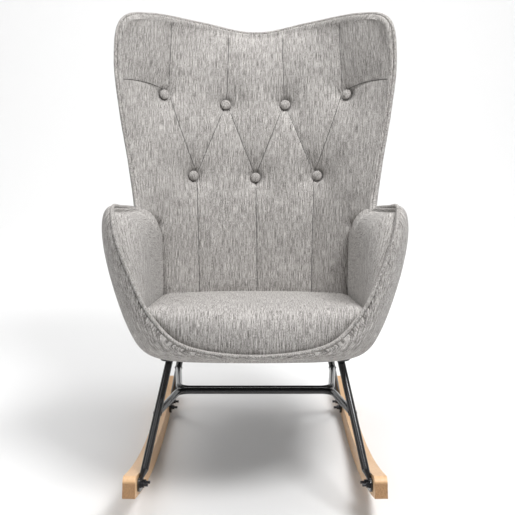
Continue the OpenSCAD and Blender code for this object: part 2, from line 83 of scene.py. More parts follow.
# ---- the tub's surface
# Each rib: spine y, z, corner x, y, z, flank x, y, z and rim x, y, z, in millimetres
RIBS = np.array([
    [318, 993, 0, 318, 993, 0, 318, 993, 0, 318, 993],
    [338, 962, 70, 340, 979, 135, 322, 1000, 134, 296, 1016],
    [342, 915, 170, 335, 945, 262, 275, 995, 251, 212, 1031],
    [338, 855, 235, 325, 890, 324, 238, 945, 314, 138, 1011],
    [330, 790, 270, 318, 810, 345, 200, 880, 328, 113, 920],
    [318, 710, 270, 305, 720, 335, 175, 770, 315, 93, 800],
    [302, 620, 262, 290, 610, 322, 140, 650, 296, 72, 690],
    [280, 520, 255, 270, 490, 318, 90, 550, 275, 25, 582],
    [250, 420, 252, 240, 360, 335, 10, 522, 276, -60, 590],
    [200, 335, 258, 170, 280, 380, -60, 552, 287, -140, 601],
    [120, 288, 262, 80, 268, 414, -140, 590, 297, -210, 606],
    [20, 281, 262, -30, 266, 384, -205, 535, 284, -257, 548],
    [-90, 281, 256, -110, 266, 322, -260, 420, 251, -277, 464],
    [-180, 284, 222, -195, 274, 275, -292, 352, 210, -291, 390],
    [-255, 291, 135, -268, 295, 200, -310, 318, 140, -306, 333],
    [-317, 317, 0, -317, 317, 0, -317, 317, 0, -317, 317],
]) * MM
# One more rib past each end, mirrored, keeps the surface smooth across the centre plane
FLIP = np.ones(11)
FLIP[[2, 5, 8]] = -1
ROWS = np.vstack([RIBS[1] * FLIP, RIBS, RIBS[-2] * FLIP])
# How far the flat middle reaches towards each rib's corner, and how strongly the corner pulls
MIDDLE_SHARE, CORNER_PULL = 0.6, 3
# a runs along the tub from END, at the top, to 1 - END, at the front, and b from rim to rim.
# Slopes are taken over PROBE to each side.
END, PROBE = 0.006, 0.004


def tub(a, b):
    a, b = np.broadcast_arrays(np.asarray(a, float), np.asarray(b, float))
    x = np.clip(a, 0, 1) * (len(RIBS) - 1)
    i = np.minimum(np.floor(x).astype(int), len(RIBS) - 2)
    q = (x - i)[..., None]
    p0, p1, p2, p3 = (ROWS[i + k] for k in range(4))
    r = 0.5 * (2 * p1 + (p2 - p0) * q + (2 * p0 - 5 * p1 + 4 * p2 - p3) * q * q
               + (3 * p1 - p0 - 3 * p2 + p3) * q ** 3)
    t = np.abs(b)
    s = 1 - t
    w = [s ** 4, 4 * t * s ** 3, 6 * CORNER_PULL * t * t * s * s, 4 * t ** 3 * s, t ** 4]
    pts = [np.stack([np.zeros_like(t), r[..., 0], r[..., 1]], -1),
           np.stack([MIDDLE_SHARE * r[..., 2], r[..., 0], r[..., 1]], -1),
           r[..., 2:5], r[..., 5:8], r[..., 8:11]]
    p = sum(wi[..., None] * pi for wi, pi in zip(w, pts)) / sum(w)[..., None]
    return np.concatenate([np.where(b < 0, -1.0, 1.0)[..., None] * p[..., :1], p[..., 1:]], -1)


def tub_normal(a, b):
    a0, a1 = np.clip(a - PROBE, END, 1 - END), np.clip(a + PROBE, END, 1 - END)
    b0, b1 = np.clip(b - PROBE, -1, 1), np.clip(b + PROBE, -1, 1)
    return unit(np.cross(tub(a, b1) - tub(a, b0), tub(a1, b) - tub(a0, b)))


# ---- the rim and its turned edge
# How the front fabric turns over the shell's edge to meet the piping: depth and out, in mm
ROLL = [(12.0, 4.4), (9.0, 5.6), (6.6, 5.2), (4.8, 3.2), (5.6, 0.9)]
# The front part of the roll, by depth in mm, which alone is raised in front of the piping
ROLL_FRONT = (3.0, 6.5)
FACE_EDGE, REAR_EDGE = (14.5, 2.0), (13.4, 0.9)
# In mm: along the top the roll stands higher and the face reaches further out, and
# round the bend at the wings' corners the face's edge lies deeper
TOP_RISE, TOP_OUT, BEND_DEEPER, ARM_RISE = 3.6, 3.4, 3.2, 4.6
# Where the top, the bend and the top of the arm fade out along the rim
TOP_FADE, BEND_FADE, ARM_FADE_IN, ARM_FADE_OUT = (0.11, 0.22), (0.16, 0.30), (0.455, 0.50), (0.60, 0.66)
# Above this height the centre plane meets the rim at the top of the back, and below it at the front
MID_Z = 0.6


def rim_edge(a, depth, out):
    """Point beside the right half of the rim: depth in from the outer face, out past the edge, in mm"""
    t = np.clip(np.asarray(a, float), END, 1 - END)
    one = np.ones_like(t)
    n = tub_normal(t, one)
    along = unit(tub(np.minimum(t + PROBE, 1 - END), one) - tub(np.maximum(t - PROBE, END), one))
    away = unit(np.cross(along, n))
    depth, out = np.asarray(depth, float)[..., None], np.asarray(out, float)[..., None]
    return tub(t, one) - n * depth * MM + away * out * MM


def to_centre(p, x):
    """Near the centre plane, where the rim's samples stop, the points keep their spacing in x"""
    last = rim_edge(END, 0.0, 0.0)[0], rim_edge(1 - END, 0.0, 0.0)[0]
    ends = np.where(p[:, 2] > MID_Z, last[0], last[1])
    p[:, 0] = np.where(np.abs(x) < ends, x, p[:, 0])
    return p


def on_top(a):
    return 1 - smooth(a, *TOP_FADE)


def on_bend(a):
    return 1 - smooth(a, *BEND_FADE)


def face_edge(a):
    """Where the back's padded face meets its turned edge"""
    return rim_edge(a, FACE_EDGE[0] + BEND_DEEPER * on_bend(a), FACE_EDGE[1] + TOP_OUT * on_top(a))


def roll_edge(a, depth, out):
    """Point on the back's turned fabric, which stands higher along the top, in front of the piping"""
    return rim_edge(a, depth, out + TOP_RISE * on_top(a) * smooth(depth, *ROLL_FRONT))


def arm_edge(a, depth, out):
    """The arm's turned fabric stands higher than the piping along the top of the arm"""
    top = smooth(a, *ARM_FADE_IN) * (1 - smooth(a, *ARM_FADE_OUT))
    return rim_edge(a, depth, out + ARM_RISE * top * smooth(depth, *ROLL_FRONT))


# ---- the padded faces
SEAT_REAR_Z, SEAT_SLOPE = 0.365, 0.112
# The back's centre line: its foot, its lean and how it bows back with height
BACK_Y, BACK_LEAN, BACK_BOW = 0.160, 0.12, 0.16
# Half the width between the wings: at a height, its growth with height, and its limit
WING_HALF_W, WING_HALF_W_Z, WING_GROWTH, WING_HALF_W_MAX = 0.275, 0.582, 0.165, 0.328
# How far the wings curl forward, the share of it at the seat, and the height where it is full
WING_DEPTH, WING_POWER, WING_SEAT_SHARE, WING_FULL = 0.158, 2.5, 0.65, 0.25


def face_y(x, z):
    h = z - SEAT_REAR_Z
    half_w = np.minimum(WING_HALF_W + WING_GROWTH * (z - WING_HALF_W_Z), WING_HALF_W_MAX)
    share = WING_SEAT_SHARE + (1 - WING_SEAT_SHARE) * np.clip(h / WING_FULL, 0, 1)
    middle = BACK_Y + BACK_LEAN * h + BACK_BOW * h * h
    return middle - WING_DEPTH * share * (np.abs(x) / half_w) ** WING_POWER


def seat_z(y):
    return SEAT_REAR_Z + SEAT_SLOPE * (BACK_Y - y)


def edge_weight(d, reach):
    """1 at the edge and 0 past reach, with the profile of a quarter circle"""
    k = np.clip(1 - d / reach, 0, 1)
    return 1 - np.sqrt(np.maximum(0, 1 - k * k))


# How far from the rim the face starts its sweep forward, and the drops over which that sets in
SWEEP_REACH, SWEEP_DROP = 0.140, (-0.012, 0.004)


def blend_weight(drop, d, reach, part=1.0):
    """Rounds back over the edge where the rim lies behind, sweeps out to it where it stands in front"""
    part = part * (1 - smooth(drop, *SWEEP_DROP))
    return (1 - part) * edge_weight(d, reach) + part * np.clip(1 - d / SWEEP_REACH, 0, 1) ** 2


# ---- mesh helpers


def perimeter(rows, cols):
    """Indices round a grid, and of each one's inner neighbour"""
    ij = ([(0, j) for j in range(cols)] + [(i, cols - 1) for i in range(1, rows)]
          + [(rows - 1, j) for j in range(cols - 2, -1, -1)] + [(i, 0) for i in range(rows - 2, 0, -1)])
    inner = [(min(max(i, 1), rows - 2), min(max(j, 1), cols - 2)) for i, j in ij]
    return np.array(ij), np.array(inner)


def grid_quads(rows, cols, start, flip):
    i, j = np.meshgrid(np.arange(rows - 1), np.arange(cols - 1), indexing="ij")
    p = (start + i * cols + j).ravel()
    q = np.stack([p, p + 1, p + cols + 1, p + cols], -1)
    return q[:, ::-1] if flip else q


def grid_tree(grid):
    rows, cols, _ = grid.shape
    quads = grid_quads(rows, cols, 0, False)
    points = [Vector(p) for p in grid.reshape(-1, 3)]
    return BVHTree.FromPolygons(points, [list(map(int, q)) for q in quads])


def grid_normals(g):
    return unit(np.cross(np.gradient(g, axis=1), np.gradient(g, axis=0)))


def turned(n, axis):
    """Normals turned to point the negative way along an axis"""
    return n * np.where(n[..., axis:axis + 1] > 0, -1.0, 1.0)


def grid_arc(g, axis):
    """Distance run along each line of a grid"""
    start = np.take(g, [0], axis)
    return np.cumsum(np.linalg.norm(np.diff(g, axis=axis, prepend=start), axis=-1), axis=axis)


def resampled(points, s, by=slice(None)):
    """Points at the shares s of a line's length, and each given point's own share"""
    run = np.concatenate([[0], np.cumsum(np.linalg.norm(np.diff(points[:, by], axis=0), axis=1))])
    run /= run[-1]
    return np.stack([np.interp(s, run, points[:, c]) for c in range(points.shape[1])], -1), run


def loop_vertices(me):
    index = np.zeros(len(me.loops), int)
    me.loops.foreach_get("vertex_index", index)
    return index


def make_object(name, verts, faces, uv=None):
    me = bpy.data.meshes.new(name)
    me.from_pydata(np.asarray(verts).tolist(), [], [list(map(int, f)) for f in faces])
    if uv is not None:
        layer = me.uv_layers.new(name="UVMap")
        layer.data.foreach_set("uv", np.asarray(uv, float)[loop_vertices(me)].ravel())
    bm = bmesh.new()
    bm.from_mesh(me)
    bmesh.ops.recalc_face_normals(bm, faces=bm.faces)
    bm.to_mesh(me)
    bm.free()
    me.shade_smooth()
    ob = bpy.data.objects.new(name, me)
    bpy.context.scene.collection.objects.link(ob)
    return ob


def closed_sheet(name, front, rear, rings, uv):
    """Closed mesh from a front grid, rings of points round its edge and a rear grid"""
    rows, cols, _ = front.shape
    ij, inner = perimeter(rows, cols)
    n, m = rows * cols, len(ij)
    verts = [front.reshape(-1, 3)] + list(rings) + [rear.reshape(-1, 3)]
    faces = [grid_quads(rows, cols, 0, False)]
    loops = [ij[:, 0] * cols + ij[:, 1]]
    for k in range(len(rings)):
        loops.append(n + k * m + np.arange(m))
    base = n + len(rings) * m
    loops.append(base + ij[:, 0] * cols + ij[:, 1])
    for lo, hi in zip(loops[:-1], loops[1:]):
        faces.append(np.stack([lo, hi, np.roll(hi, -1), np.roll(lo, -1)], -1))
    faces.append(grid_quads(rows, cols, base, True))
    # the weave carries on over the turned edge
    uvs = [uv.reshape(-1, 2)]
    edge_uv = uv[ij[:, 0], ij[:, 1]]
    way = unit(edge_uv - uv[inner[:, 0], inner[:, 1]])
    at = front[ij[:, 0], ij[:, 1]]
    run = np.zeros(m)
    for ring in rings:
        run = run + np.linalg.norm(ring - at, axis=1)
        at = ring
        uvs.append(edge_uv + way * run[:, None])
    uvs.append(uv.reshape(-1, 2))
    return make_object(name, rest(np.vstack(verts)), np.vstack(faces), np.vstack(uvs))


def edge_rings(front, on_rim, place, tuck):
    """The turned edge: placed beside the rim where it lies on it, and tucked in elsewhere"""
    at = front[tuple(perimeter(*front.shape[:2])[0].T)]
    return [np.where(on_rim[:, None], place(depth, out, at[:, 0]), at + tuck) for depth, out in ROLL]


# The rear of a pad's fabric lies this close behind its front at the edges
SHEET_T = 0.0012


def rear_of(front, thick, reach):
    """Rear grid: thick behind the middle of the front, and close behind it near the edges"""
    rows, cols, _ = front.shape
    i = np.minimum(np.arange(rows), np.arange(rows)[::-1])[:, None] / rows
    j = np.minimum(np.arange(cols), np.arange(cols)[::-1])[None, :] / cols
    fade = smooth(np.minimum(i, j), 0, reach)
    return front - grid_normals(front) * (SHEET_T + thick * fade)[..., None]


def seg_distance(x, z, a, b):
    ax, az = a
    dx, dz = b[0] - ax, b[1] - az
    t = np.clip(((x - ax) * dx + (z - az) * dz) / (dx * dx + dz * dz), 0, 1)
    return np.hypot(x - ax - t * dx, z - az - t * dz)


def circle(sides):
    return np.linspace(0, 2 * np.pi, sides, endpoint=False)


def tube(points, radius, sides, closed=False):
    """Vertices and faces of a tube along a line of points"""
    p = np.asarray(points, float)
    n = len(p)
    along = unit(np.roll(p, -1, 0) - np.roll(p, 1, 0)) if closed else unit(np.gradient(p, axis=0))
    # a direction that none of the lines runs along
    side = unit(np.cross(along, np.array([0.31, 0.55, -0.77])))
    up = np.cross(side, along)
    ang = circle(sides)[None, :, None]
    r = np.broadcast_to(np.asarray(radius, float), (n,))[:, None, None]
    v = p[:, None] + r * (np.cos(ang) * side[:, None] + np.sin(ang) * up[:, None])
    faces = []
    for i in range(n if closed else n - 1):
        for k in range(sides):
            a, b = i * sides + k, i * sides + (k + 1) % sides
            c, d = ((i + 1) % n) * sides + (k + 1) % sides, ((i + 1) % n) * sides + k
            faces.append([a, b, c, d])
    if not closed:
        faces += [list(range(sides)), list(range((n - 1) * sides, n * sides))]
    return v.reshape(-1, 3), faces


def merged(parts):
    verts, faces, start = [], [], 0
    for v, f in parts:
        verts.append(v)
        faces += [[k + start for k in face] for face in f]
        start += len(v)
    return np.vstack(verts), faces


# ---- cloth
# Every fourth row and column of a face goes into its cloth run
CLOTH_STEP, CLOTH_FRAMES, CLOTH_SLACK = 4, 20, 0.001
# Thickness of the cushion of air behind the face in the run
AIR_T = 0.03


def cubic_matrix(n_out, n_in):
    """Rows that resample n_in even samples to n_out with a Catmull-Rom curve"""
    m = np.zeros((n_out, n_in))
    for r, x in enumerate(np.linspace(0, n_in - 1, n_out)):
        i = min(int(x), n_in - 2)
        q = x - i
        w = [-0.5 * q + q * q - 0.5 * q ** 3, 1 - 2.5 * q * q + 1.5 * q ** 3,
             0.5 * q + 2 * q * q - 1.5 * q ** 3, -0.5 * q * q + 0.5 * q ** 3]
        for k in range(4):
            m[r, min(max(i + k - 1, 0), n_in - 1)] += w[k]
    return m


def cloth_modifier(ob, pressure):
    mod = ob.modifiers.new("cloth", "CLOTH")
    st = mod.settings
    st.quality = 4
    st.mass = 0.25
    st.tension_stiffness = 12
    st.compression_stiffness = 12
    st.shear_stiffness = 6
    st.bending_stiffness = 4.0
    st.air_damping = 2
    st.vertex_group_mass = "sewn"
    st.pin_stiffness = 1
    st.shrink_min = -CLOTH_SLACK
    st.use_pressure = True
    st.uniform_pressure_force = pressure
    st.effector_weights.gravity = 0
    mod.collision_settings.use_collision = False
    mod.collision_settings.use_self_collision = False
    mod.point_cache.frame_start = 1
    mod.point_cache.frame_end = CLOTH_FRAMES


def inflate(name, grid, pins, pressure, cap):
    """How far a coarse padded face moves in a cloth run with air pressure behind it.
    pins holds 1 where the fabric is sewn down and 0 where it is free."""
    rows, cols, _ = grid.shape
    n = rows * cols
    rear = grid - grid_normals(grid) * AIR_T
    ij, _ = perimeter(rows, cols)
    loop = ij[:, 0] * cols + ij[:, 1]
    nxt = np.roll(loop, -1)
    wall = np.stack([loop, loop + n, nxt + n, nxt], -1)
    ob = make_object(name + "_run", np.vstack([grid.reshape(-1, 3), rear.reshape(-1, 3)]),
                     np.vstack([grid_quads(rows, cols, 0, False), wall, grid_quads(rows, cols, n, True)]))
    group = ob.vertex_groups.new(name="sewn")
    for k, pin in enumerate(pins.ravel()):
        group.add([k], float(pin), "REPLACE")
    group.add(list(range(n, 2 * n)), 1.0, "REPLACE")
    cloth_modifier(ob, pressure)
    scene = bpy.context.scene
    for f in range(1, CLOTH_FRAMES + 1):
        scene.frame_set(f)
    moved = ob.evaluated_get(bpy.context.evaluated_depsgraph_get()).to_mesh()
    co = np.zeros(len(moved.vertices) * 3)
    moved.vertices.foreach_get("co", co)
    scene.frame_set(1)
    mesh = ob.data
    bpy.data.objects.remove(ob)
    bpy.data.meshes.remove(mesh)
    d = co.reshape(-1, 3)[:n].reshape(grid.shape) - grid
    size = np.linalg.norm(d, axis=-1, keepdims=True)
    return d * np.minimum(1, cap / np.maximum(size, 1e-9))


def with_cloth(name, dense, pins, pressure, cap):
    """The dense grid, moved as its coarse copy moves in the cloth run"""
    rows, cols, _ = dense.shape
    r, c = (rows - 1) // CLOTH_STEP + 1, (cols - 1) // CLOTH_STEP + 1
    i = np.round(np.linspace(0, rows - 1, r)).astype(int)
    j = np.round(np.linspace(0, cols - 1, c)).astype(int)
    d = inflate(name, dense[np.ix_(i, j)], pins[np.ix_(i, j)], pressure, cap)
    for _ in range(3):
        wide = np.pad(d, ((1, 1), (1, 1), (0, 0)), mode="edge")
        d = 0.5 * d + 0.125 * (wide[:-2, 1:-1] + wide[2:, 1:-1] + wide[1:-1, :-2] + wide[1:-1, 2:])
    up = np.einsum("ri,ijk->rjk", cubic_matrix(rows, r), d)
    return dense + np.einsum("cj,rjk->rck", cubic_matrix(cols, c), up)


# ---- materials


def new_material(name):
    mat = bpy.data.materials.new(name)
    mat.use_nodes = True
    nt = mat.node_tree
    nt.nodes.clear()
    out = nt.nodes.new("ShaderNodeOutputMaterial")
    bsdf = nt.nodes.new("ShaderNodeBsdfPrincipled")
    nt.links.new(bsdf.outputs[0], out.inputs[0])
    return mat, nt, bsdf


def coordinates(nt, kind="Object"):
    return nt.nodes.new("ShaderNodeTexCoord").outputs[kind]


def noise(nt, coord, scale, detail=2.0, rough=0.5, distort=0.0):
    mp = nt.nodes.new("ShaderNodeMapping")
    mp.inputs["Scale"].default_value = scale
    nt.links.new(coord, mp.inputs[0])
    tx = nt.nodes.new("ShaderNodeTexNoise")
    tx.inputs["Scale"].default_value = 1.0
    tx.inputs["Detail"].default_value = detail
    tx.inputs["Roughness"].default_value = rough
    tx.inputs["Distortion"].default_value = distort
    nt.links.new(mp.outputs[0], tx.inputs["Vector"])
    return tx.outputs["Fac"]


def maths(nt, op, a, b=0.0, c=0.0):
    nd = nt.nodes.new("ShaderNodeMath")
    nd.operation = op
    for k, v in enumerate((a, b, c)):
        if isinstance(v, (int, float)):
            nd.inputs[k].default_value = v
        else:
            nt.links.new(v, nd.inputs[k])
    return nd.outputs[0]


def times(colour, k):
    return tuple(k * c for c in colour)


def ramp(nt, fac, stops):
    nd = nt.nodes.new("ShaderNodeValToRGB")
    cr = nd.color_ramp
    while len(cr.elements) < len(stops):
        cr.elements.new(0.5)
    for el, (pos, col) in zip(cr.elements, stops):
        el.position = pos
        el.color = (*col, 1)
    nt.links.new(fac, nd.inputs[0])
    return nd.outputs[0]


def bump(nt, bsdf, height, strength, distance):
    nd = nt.nodes.new("ShaderNodeBump")
    nd.inputs["Strength"].default_value = strength
    nd.inputs["Distance"].default_value = distance
    nt.links.new(height, nd.inputs["Height"])
    nt.links.new(nd.outputs[0], bsdf.inputs["Normal"])


# Each layer of the weave: noise across and along the warp per metre, detail, roughness, share of tone
WEAVE = {"warp": (1250, 50, 2, 0.6, 0.40), "slub": (1900, 260, 1, 0.5, 0.26),
         "weft": (560, 1150, 1, 0.5, 0.18), "broad": (430, 14, 2, 0.5, 0.16)}
YARN = [(0.42, (0.095, 0.088, 0.082)), (0.50, (0.330, 0.314, 0.300)), (0.58, (0.660, 0.637, 0.615))]


def fabric(name, solid=False, shade=1.0):
    """Slub linen: warp threads run along v, or along z where the pattern is solid"""
    mat, nt, bsdf = new_material(name)
    co = coordinates(nt, "Object" if solid else "UV")
    layer, tone = {}, 0.0
    for key, (across, along, detail, rough, share) in WEAVE.items():
        scale = (across, across, along) if solid else (across, along, 1.0)
        layer[key] = noise(nt, co, scale, detail, rough)
        tone = maths(nt, "MULTIPLY_ADD", layer[key], share, tone)
    nt.links.new(ramp(nt, tone, [(pos, times(col, shade)) for pos, col in YARN]), bsdf.inputs["Base Color"])
    bsdf.inputs["Roughness"].default_value = 0.95
    bsdf.inputs["Specular IOR Level"].default_value = 0.18
    bsdf.inputs["Sheen Weight"].default_value = 0.12
    bsdf.inputs["Sheen Roughness"].default_value = 0.5
    threads = maths(nt, "MULTIPLY_ADD", layer["slub"], 0.6, maths(nt, "MULTIPLY", layer["weft"], 0.5))
    bump(nt, bsdf, threads, 0.5, 0.0006)
    return mat


def wood(name, light, dark, end, rough=0.42):
    """Grain along y, and end grain on the faces that look along y"""
    mat, nt, bsdf = new_material(name)
    co = coordinates(nt)
    rings = noise(nt, co, (70, 3.0, 70), 2, 0.5, 0.6)
    fine = noise(nt, co, (520, 16, 520), 2, 0.6)
    flecks = noise(nt, co, (900, 120, 900), 1, 0.5)
    tone = maths(nt, "MULTIPLY_ADD", fine, 0.35, maths(nt, "MULTIPLY", rings, 0.5))
    tone = maths(nt, "MULTIPLY_ADD", flecks, 0.15, tone)
    face = ramp(nt, tone, [(0.36, dark), (0.62, light)])
    sep = nt.nodes.new("ShaderNodeSeparateXYZ")
    nt.links.new(nt.nodes.new("ShaderNodeNewGeometry").outputs["Normal"], sep.inputs[0])
    facing_y = maths(nt, "ABSOLUTE", sep.outputs["Y"])
    is_end = maths(nt, "MAXIMUM", maths(nt, "MULTIPLY_ADD", facing_y, 6.0, -4.6), 0.0)
    is_end = maths(nt, "SMOOTH_MIN", is_end, 1.0, 0.05)
    pores = noise(nt, co, (420, 420, 420), 2, 0.6)
    mix = nt.nodes.new("ShaderNodeMix")
    mix.data_type = "RGBA"
    nt.links.new(is_end, mix.inputs["Factor"])
    nt.links.new(face, mix.inputs["A"])
    nt.links.new(ramp(nt, pores, [(0.38, times(end, 0.72)), (0.60, end)]), mix.inputs["B"])
    nt.links.new(mix.outputs["Result"], bsdf.inputs["Base Color"])
    bsdf.inputs["Roughness"].default_value = rough
    bump(nt, bsdf, fine, 0.25, 0.0003)
    return mat


def metal(name, colour, rough, metallic, coat=0.0, grain=600):
    mat, nt, bsdf = new_material(name)
    skin = noise(nt, coordinates(nt), (grain, grain, grain), 2, 0.5)
    bsdf.inputs["Base Color"].default_value = (*colour, 1)
    bsdf.inputs["Metallic"].default_value = metallic
    nt.links.new(maths(nt, "MULTIPLY_ADD", skin, 0.10, rough - 0.05), bsdf.inputs["Roughness"])
    bsdf.inputs["Coat Weight"].default_value = coat
    bsdf.inputs["Coat Roughness"].default_value = 0.12
    bump(nt, bsdf, skin, 0.4, 0.00008)
    return mat


def felt(name, colour):
    mat, nt, bsdf = new_material(name)
    fibre = noise(nt, coordinates(nt), (500, 500, 500), 3, 0.6)
    nt.links.new(ramp(nt, fibre, [(0.35, times(colour, 0.6)), (0.65, times(colour, 1.6))]),
                 bsdf.inputs["Base Color"])
    bsdf.inputs["Roughness"].default_value = 0.95
    bump(nt, bsdf, fibre, 0.5, 0.0005)
    return mat


LINEN = fabric("slub_linen")
LINEN_SOLID = fabric("slub_linen_solid", solid=True)
# seam_shadow: the linen at 0.22 of its brightness, painted shadow for the dark cords in the seam grooves
SEAM_SHADOW = fabric("seam_shadow", solid=True, shade=0.22)
BEECH = wood("beech_lacquered", (0.80, 0.53, 0.30), (0.66, 0.40, 0.205), (0.42, 0.245, 0.125))
PLY = wood("plywood", (0.72, 0.56, 0.36), (0.58, 0.42, 0.25), (0.40, 0.27, 0.15), rough=0.7)
STEEL = metal("black_powder_coat", (0.012, 0.012, 0.013), 0.26, 0.0, coat=0.35)
BLACK_ZINC = metal("black_zinc", (0.035, 0.035, 0.038), 0.35, 0.6, grain=900)
ZINC = metal("zinc_plate", (0.60, 0.61, 0.64), 0.30, 1.0, grain=900)
FELT = felt("dust_felt", (0.018, 0.018, 0.018))


def finish_piece(ob, mat, slot, *replaced):
    ob.data.materials.clear()
    ob.data.materials.append(mat)
    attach(ob, "root")
    if replaced:
        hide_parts(*replaced)


def finish_parts(name, parts, mat, slot, *replaced):
    v, f = merged(parts)
    finish_piece(make_object(name, rest(v), f), mat, slot, *replaced)


# ---- outer cover and piping
COVER_T, PIPING_R = 3 * MM, 4.0 * MM
# The sewn seams: down each side of the back panel at SIDE_SEAM of b, and across at LOW_SEAM of a
SIDE_SEAM, LOW_SEAM = 0.50, 0.62
SEAM_DEPTH, SIDE_SEAM_W, LOW_SEAM_W = 1.1, 0.0045, 0.006
# Metres from rim to centre for one unit of b, and along the tub for one unit of a
B_LENGTH, A_LENGTH = 0.55, 1.9


def outer_cover():
    rows, cols = 221, 181
    a, b = np.meshgrid(np.linspace(END, 1 - END, rows), np.linspace(-1, 1, cols), indexing="ij")
    n = tub_normal(a, b)
    from_side = np.abs(np.abs(b) - SIDE_SEAM) * B_LENGTH
    from_low = np.abs(a - LOW_SEAM) * A_LENGTH
    groove = SEAM_DEPTH * np.exp(-(from_side / SIDE_SEAM_W) ** 2) * smooth(a, 0.10, 0.16)
    groove += SEAM_DEPTH * np.exp(-(from_low / LOW_SEAM_W) ** 2) * (np.abs(b) < SIDE_SEAM + 0.005)
    outer = tub(a, b) - n * (groove * MM)[..., None]
    inner = tub(a, b) - n * COVER_T
    across = grid_arc(outer, 1)
    uv = np.stack([across - across[:, cols // 2, None], grid_arc(outer, 0)], -1)
    ob = closed_sheet("outer_fabric", outer, inner, [], uv)
    # the side panels are cut apart from the back, with the weave running up them
    side_uv = np.stack([outer[..., 1], outer[..., 2] + np.abs(outer[..., 0])], -1).reshape(-1, 2)
    own = loop_vertices(ob.data) % (rows * cols)
    layer = ob.data.uv_layers["UVMap"].data
    loop_uv = np.zeros(2 * len(own))
    layer.foreach_get("uv", loop_uv)
    # four loops to a face
    on_side = np.repeat(np.abs(b).ravel()[own].reshape(-1, 4).mean(1) > SIDE_SEAM, 4)
    layer.foreach_set("uv", np.where(on_side[:, None], side_uv[own], loop_uv.reshape(-1, 2)).ravel())
    finish_piece(ob, LINEN, "grey_fabric", "outer_cover")


def rim_piping():
    half = rim_edge(np.linspace(0.007, 0.993, 430), 1.5, 4.5)
    loop = np.vstack([half, mirror_x(half)[::-1]])
    for _ in range(3):
        loop = 0.5 * loop + 0.25 * (np.roll(loop, 1, 0) + np.roll(loop, -1, 0))
    cord = tube(loop, PIPING_R, 14, closed=True)
    finish_parts("piping_cord", [cord], LINEN_SOLID, "grey_fabric", "rim_piping")


# ---- back
BUTTONS = [(-213, 847), (-72, 822), (72, 822), (213, 847), (-144, 649), (0, 642), (144, 649)]
HALF_SEAMS = [
    [(213, 847), (210, 900), (207, 960), (205, 1026)],
    [(72, 822), (70, 880), (68, 940), (67, 1006)],
    [(72, 822), (0, 642)],
    [(72, 822), (144, 649)],
    [(213, 847), (144, 649)],
    [(213, 847), (232, 858), (252, 867), (275, 873), (300, 876), (330, 875)],
    [(144, 649), (139, 520), (136, 352)],
]
SEAMS = ([[(x * MM, z * MM) for x, z in s] for s in HALF_SEAMS]
         + [[(-x * MM, z * MM) for x, z in s] for s in HALF_SEAMS]
         + [[(0, 0.642), (0.003, 0.520), (0.004, 0.352)]])
TUFTS = [(x * MM, z * MM) for x, z in BUTTONS]
# Along the rim: the wing's corner, where arm and back meet, the arm's front end and the seat's
A_HORN, A_SADDLE, A_ARM, A_SEAT = 0.178, 0.472, 0.846, 0.842
# Half the clear width between the arms
SEAT_HALF_W = 0.2225
# The crease where the arm meets the back, up from the seat to the rim
CREASE = [(0.231, 0.352), (0.232, 0.443), (0.235, 0.495), (0.243, 0.522), (0.256, 0.537), (0.272, 0.548)]
CREASE_DEPTH, CREASE_W, CREASE_TOP = 0.022, 0.016, 0.590
# Where the crease is pulled in most
PULL_X, PULL_Z, PULL_DEPTH, PULL_W = 0.236, 0.536, 0.012, 0.013
# A distance past everything
FAR = 9.0


def crease_depth(x, z):
    d = np.min([seg_distance(np.abs(x), z, p, q) for p, q in zip(CREASE[:-1], CREASE[1:])], axis=0)
    pull = np.hypot(np.abs(x) - PULL_X, z - PULL_Z)
    deep = CREASE_DEPTH * np.exp(-(d / CREASE_W) ** 2) + PULL_DEPTH * np.exp(-(pull / PULL_W) ** 2)
    return deep * smooth(CREASE_TOP - z, 0.0, 0.030)


def seam_field(x, z):
    """Distances to the nearest seam and button, and how deep in mm these pull the fabric in"""
    near = np.full(np.shape(x), FAR)
    for line in SEAMS:
        for p, q in zip(line[:-1], line[1:]):
            near = np.minimum(near, seg_distance(x, z, p, q))
    depth = 2.2 * np.exp(-(near / 0.0034) ** 2) + 1.2 * np.exp(-(near / 0.013) ** 2)
    tuft = np.full(np.shape(x), FAR)
    for bx, bz in TUFTS:
        r = np.hypot(x - bx, z - bz)
        tuft = np.minimum(tuft, r)
        depth += 9.5 * np.exp(-(r / 0.0165) ** 4) + 16.0 * np.exp(-(r / 0.042) ** 2)
    return near, tuft, depth


# The face keeps in front of the shell above SHELL_FROM_Z, down to SHELL_LAST of a
SHELL_FROM_Z, SHELL_LAST = 0.63, 0.44
# The shell's inside below the tub's surface, and how much deeper it lies at the top
SHELL_IN, SHELL_TOP_IN = 0.0155, 0.0035
# Where no shell is met, it is taken to lie behind everything
NO_SHELL_Y = 0.6


